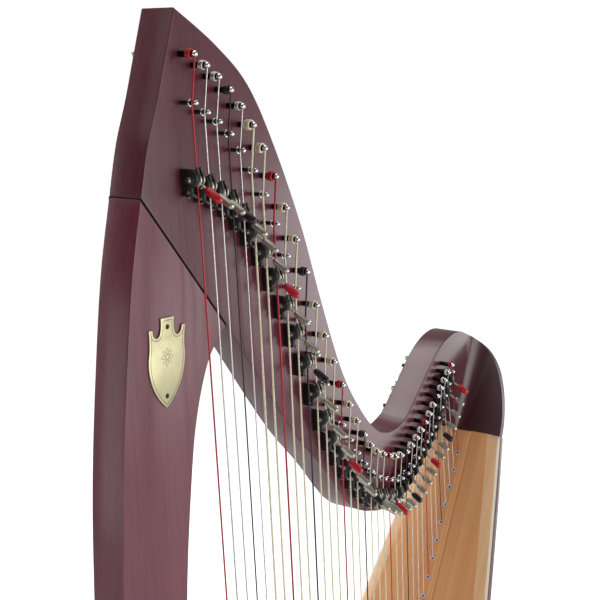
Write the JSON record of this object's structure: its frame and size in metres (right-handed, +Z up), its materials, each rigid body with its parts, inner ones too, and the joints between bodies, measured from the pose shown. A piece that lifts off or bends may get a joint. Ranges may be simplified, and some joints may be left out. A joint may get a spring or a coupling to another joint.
{
  "type": "lever harp",
  "caption": "Free-standing harp with a bowed pillar, curved neck, staved soundbox, a full band of strings and a sharping lever on each string.",
  "frame": {"origin": "on the floor under the middle of the harp's box", "axes": "+Z up, +X from the pillar to the soundbox where the player sits, -Y the side that the levers are on"},
  "size_m": [0.801, 0.4178, 1.61],
  "materials": {
    "mahogany": "satin stained and lacquered mahogany",
    "soundboard_spruce": "satin lacquered spruce with vertical grain",
    "inner_wood": "bare maple and spruce inside the box",
    "gasket_black": "matt black",
    "lever_metal": "nickel-plated, satin",
    "plate_gold": "pale lacquered brass",
    "dark_screw": "blackened",
    "string_nylon": "gut and nylon, with red and black marker strings",
    "foot_rubber": "matt"
  },
  "bodies": {
    "root": {"pillar": "mahogany", "pillar_gasket": "gasket_black", "neck": "mahogany", "string_band": "string_nylon", "name_plate": "plate_gold", "plate_screw_upper": "dark_screw", "plate_screw_lower": "dark_screw", "base_block": "mahogany", "plinth": "mahogany", "foot_front_near": "foot_rubber", "foot_front_far": "foot_rubber", "foot_back_near": "foot_rubber", "foot_back_far": "foot_rubber", "shoulder": "mahogany", "soundboard": "soundboard_spruce", "inner_string_rib": "inner_wood", "body_frame_1": "inner_wood", "body_frame_2": "inner_wood", "body_frame_3": "inner_wood", "back_panel": "mahogany", "near_side_stave": "mahogany", "near_back_stave": "mahogany", "far_back_stave": "mahogany", "far_side_stave": "mahogany"},
    "lever_01": {"lever_01": "lever_metal"},
    "lever_02": {"lever_02": "lever_metal"},
    "lever_03": {"lever_03": "lever_metal"},
    "lever_04": {"lever_04": "lever_metal"},
    "lever_05": {"lever_05": "lever_metal"},
    "lever_06": {"lever_06": "lever_metal"},
    "lever_07": {"lever_07": "lever_metal"},
    "lever_08": {"lever_08": "lever_metal"},
    "lever_09": {"lever_09": "lever_metal"},
    "lever_10": {"lever_10": "lever_metal"},
    "lever_11": {"lever_11": "lever_metal"},
    "lever_12": {"lever_12": "lever_metal"},
    "lever_13": {"lever_13": "lever_metal"},
    "lever_14": {"lever_14": "lever_metal"},
    "lever_15": {"lever_15": "lever_metal"},
    "lever_16": {"lever_16": "lever_metal"},
    "lever_17": {"lever_17": "lever_metal"},
    "lever_18": {"lever_18": "lever_metal"},
    "lever_19": {"lever_19": "lever_metal"},
    "lever_20": {"lever_20": "lever_metal"},
    "lever_21": {"lever_21": "lever_metal"},
    "lever_22": {"lever_22": "lever_metal"},
    "lever_23": {"lever_23": "lever_metal"},
    "lever_24": {"lever_24": "lever_metal"},
    "lever_25": {"lever_25": "lever_metal"},
    "lever_26": {"lever_26": "lever_metal"},
    "lever_27": {"lever_27": "lever_metal"},
    "lever_28": {"lever_28": "lever_metal"},
    "lever_29": {"lever_29": "lever_metal"},
    "lever_30": {"lever_30": "lever_metal"},
    "lever_31": {"lever_31": "lever_metal"},
    "lever_32": {"lever_32": "lever_metal"},
    "lever_33": {"lever_33": "lever_metal"},
    "lever_34": {"lever_34": "lever_metal"},
    "lever_35": {"lever_35": "lever_metal"},
    "lever_36": {"lever_36": "lever_metal"}
  },
  "joints": [
    {"name": "lever_01_flip", "type": "hinge", "parent": "root", "child": "lever_01", "pos_m": [-0.27403, 0.003, 1.46263], "axis": [-0.9992, 0, -0.0401], "range_deg": [0, 75]},
    {"name": "lever_02_flip", "type": "hinge", "parent": "root", "child": "lever_02", "pos_m": [-0.25722, 0.003, 1.455], "axis": [-0.9992, 0, -0.0401], "range_deg": [0, 75]},
    {"name": "lever_03_flip", "type": "hinge", "parent": "root", "child": "lever_03", "pos_m": [-0.24047, 0.003, 1.447], "axis": [-0.9992, 0, -0.0401], "range_deg": [0, 75]},
    {"name": "lever_04_flip", "type": "hinge", "parent": "root", "child": "lever_04", "pos_m": [-0.22369, 0.003, 1.43651], "axis": [-0.9992, 0, -0.0401], "range_deg": [0, 75]},
    {"name": "lever_05_flip", "type": "hinge", "parent": "root", "child": "lever_05", "pos_m": [-0.20681, 0.003, 1.42165], "axis": [-0.9992, 0, -0.0401], "range_deg": [0, 75]},
    {"name": "lever_06_flip", "type": "hinge", "parent": "root", "child": "lever_06", "pos_m": [-0.18986, 0.003, 1.40312], "axis": [-0.9992, 0, -0.0401], "range_deg": [0, 75]},
    {"name": "lever_07_flip", "type": "hinge", "parent": "root", "child": "lever_07", "pos_m": [-0.17281, 0.003, 1.38], "axis": [-0.9992, 0, -0.0401], "range_deg": [0, 75]},
    {"name": "lever_08_flip", "type": "hinge", "parent": "root", "child": "lever_08", "pos_m": [-0.15562, 0.003, 1.35154], "axis": [-0.9992, 0, -0.0401], "range_deg": [0, 75]},
    {"name": "lever_09_flip", "type": "hinge", "parent": "root", "child": "lever_09", "pos_m": [-0.13836, 0.003, 1.31916], "axis": [-0.9992, 0, -0.0401], "range_deg": [0, 75]},
    {"name": "lever_10_flip", "type": "hinge", "parent": "root", "child": "lever_10", "pos_m": [-0.12111, 0.003, 1.28526], "axis": [-0.9992, 0, -0.0401], "range_deg": [0, 75]},
    {"name": "lever_11_flip", "type": "hinge", "parent": "root", "child": "lever_11", "pos_m": [-0.10387, 0.003, 1.2491], "axis": [-0.9992, 0, -0.0401], "range_deg": [0, 75]},
    {"name": "lever_12_flip", "type": "hinge", "parent": "root", "child": "lever_12", "pos_m": [-0.08664, 0.003, 1.2111], "axis": [-0.9992, 0, -0.0401], "range_deg": [0, 75]},
    {"name": "lever_13_flip", "type": "hinge", "parent": "root", "child": "lever_13", "pos_m": [-0.06962, 0.003, 1.1762], "axis": [-0.9992, 0, -0.0401], "range_deg": [0, 75]},
    {"name": "lever_14_flip", "type": "hinge", "parent": "root", "child": "lever_14", "pos_m": [-0.05296, 0.003, 1.14782], "axis": [-0.9992, 0, -0.0401], "range_deg": [0, 75]},
    {"name": "lever_15_flip", "type": "hinge", "parent": "root", "child": "lever_15", "pos_m": [-0.03657, 0.003, 1.12394], "axis": [-0.9992, 0, -0.0401], "range_deg": [0, 75]},
    {"name": "lever_16_flip", "type": "hinge", "parent": "root", "child": "lever_16", "pos_m": [-0.02039, 0.003, 1.10295], "axis": [-0.9992, 0, -0.0401], "range_deg": [0, 75]},
    {"name": "lever_17_flip", "type": "hinge", "parent": "root", "child": "lever_17", "pos_m": [-0.00439, 0.003, 1.0838], "axis": [-0.9992, 0, -0.0401], "range_deg": [0, 75]},
    {"name": "lever_18_flip", "type": "hinge", "parent": "root", "child": "lever_18", "pos_m": [0.01142, 0.003, 1.06718], "axis": [-0.9992, 0, -0.0401], "range_deg": [0, 75]},
    {"name": "lever_19_flip", "type": "hinge", "parent": "root", "child": "lever_19", "pos_m": [0.027, 0.003, 1.05343], "axis": [-0.9992, 0, -0.0401], "range_deg": [0, 75]},
    {"name": "lever_20_flip", "type": "hinge", "parent": "root", "child": "lever_20", "pos_m": [0.04234, 0.003, 1.04329], "axis": [-0.9992, 0, -0.0401], "range_deg": [0, 75]},
    {"name": "lever_21_flip", "type": "hinge", "parent": "root", "child": "lever_21", "pos_m": [0.05744, 0.003, 1.03639], "axis": [-0.9992, 0, -0.0401], "range_deg": [0, 75]},
    {"name": "lever_22_flip", "type": "hinge", "parent": "root", "child": "lever_22", "pos_m": [0.07238, 0.003, 1.03089], "axis": [-0.9992, 0, -0.0401], "range_deg": [0, 75]},
    {"name": "lever_23_flip", "type": "hinge", "parent": "root", "child": "lever_23", "pos_m": [0.08718, 0.003, 1.02605], "axis": [-0.9992, 0, -0.0401], "range_deg": [0, 75]},
    {"name": "lever_24_flip", "type": "hinge", "parent": "root", "child": "lever_24", "pos_m": [0.10173, 0.003, 1.02467], "axis": [-0.9992, 0, -0.0401], "range_deg": [0, 75]},
    {"name": "lever_25_flip", "type": "hinge", "parent": "root", "child": "lever_25", "pos_m": [0.11602, 0.003, 1.02697], "axis": [-0.9992, 0, -0.0401], "range_deg": [0, 75]},
    {"name": "lever_26_flip", "type": "hinge", "parent": "root", "child": "lever_26", "pos_m": [0.13007, 0.003, 1.03247], "axis": [-0.9992, 0, -0.0401], "range_deg": [0, 75]},
    {"name": "lever_27_flip", "type": "hinge", "parent": "root", "child": "lever_27", "pos_m": [0.14392, 0.003, 1.03984], "axis": [-0.9992, 0, -0.0401], "range_deg": [0, 75]},
    {"name": "lever_28_flip", "type": "hinge", "parent": "root", "child": "lever_28", "pos_m": [0.1565, 0.003, 1.04747], "axis": [-0.9989, 0, -0.046], "range_deg": [0, 75]},
    {"name": "lever_29_flip", "type": "hinge", "parent": "root", "child": "lever_29", "pos_m": [0.16824, 0.003, 1.055], "axis": [-0.9984, 0, -0.0568], "range_deg": [0, 75]},
    {"name": "lever_30_flip", "type": "hinge", "parent": "root", "child": "lever_30", "pos_m": [0.17967, 0.003, 1.0621], "axis": [-0.9975, 0, -0.0707], "range_deg": [0, 75]},
    {"name": "lever_31_flip", "type": "hinge", "parent": "root", "child": "lever_31", "pos_m": [0.19092, 0.003, 1.06975], "axis": [-0.9962, 0, -0.0872], "range_deg": [0, 75]},
    {"name": "lever_32_flip", "type": "hinge", "parent": "root", "child": "lever_32", "pos_m": [0.202, 0.003, 1.07919], "axis": [-0.9944, 0, -0.1058], "range_deg": [0, 75]},
    {"name": "lever_33_flip", "type": "hinge", "parent": "root", "child": "lever_33", "pos_m": [0.21281, 0.003, 1.09098], "axis": [-0.992, 0, -0.1262], "range_deg": [0, 75]},
    {"name": "lever_34_flip", "type": "hinge", "parent": "root", "child": "lever_34", "pos_m": [0.22341, 0.003, 1.10418], "axis": [-0.989, 0, -0.1482], "range_deg": [0, 75]},
    {"name": "lever_35_flip", "type": "hinge", "parent": "root", "child": "lever_35", "pos_m": [0.23389, 0.003, 1.11801], "axis": [-0.9852, 0, -0.1716], "range_deg": [0, 75]},
    {"name": "lever_36_flip", "type": "hinge", "parent": "root", "child": "lever_36", "pos_m": [0.24433, 0.003, 1.13194], "axis": [-0.9806, 0, -0.1962], "range_deg": [0, 75]}
  ]
}
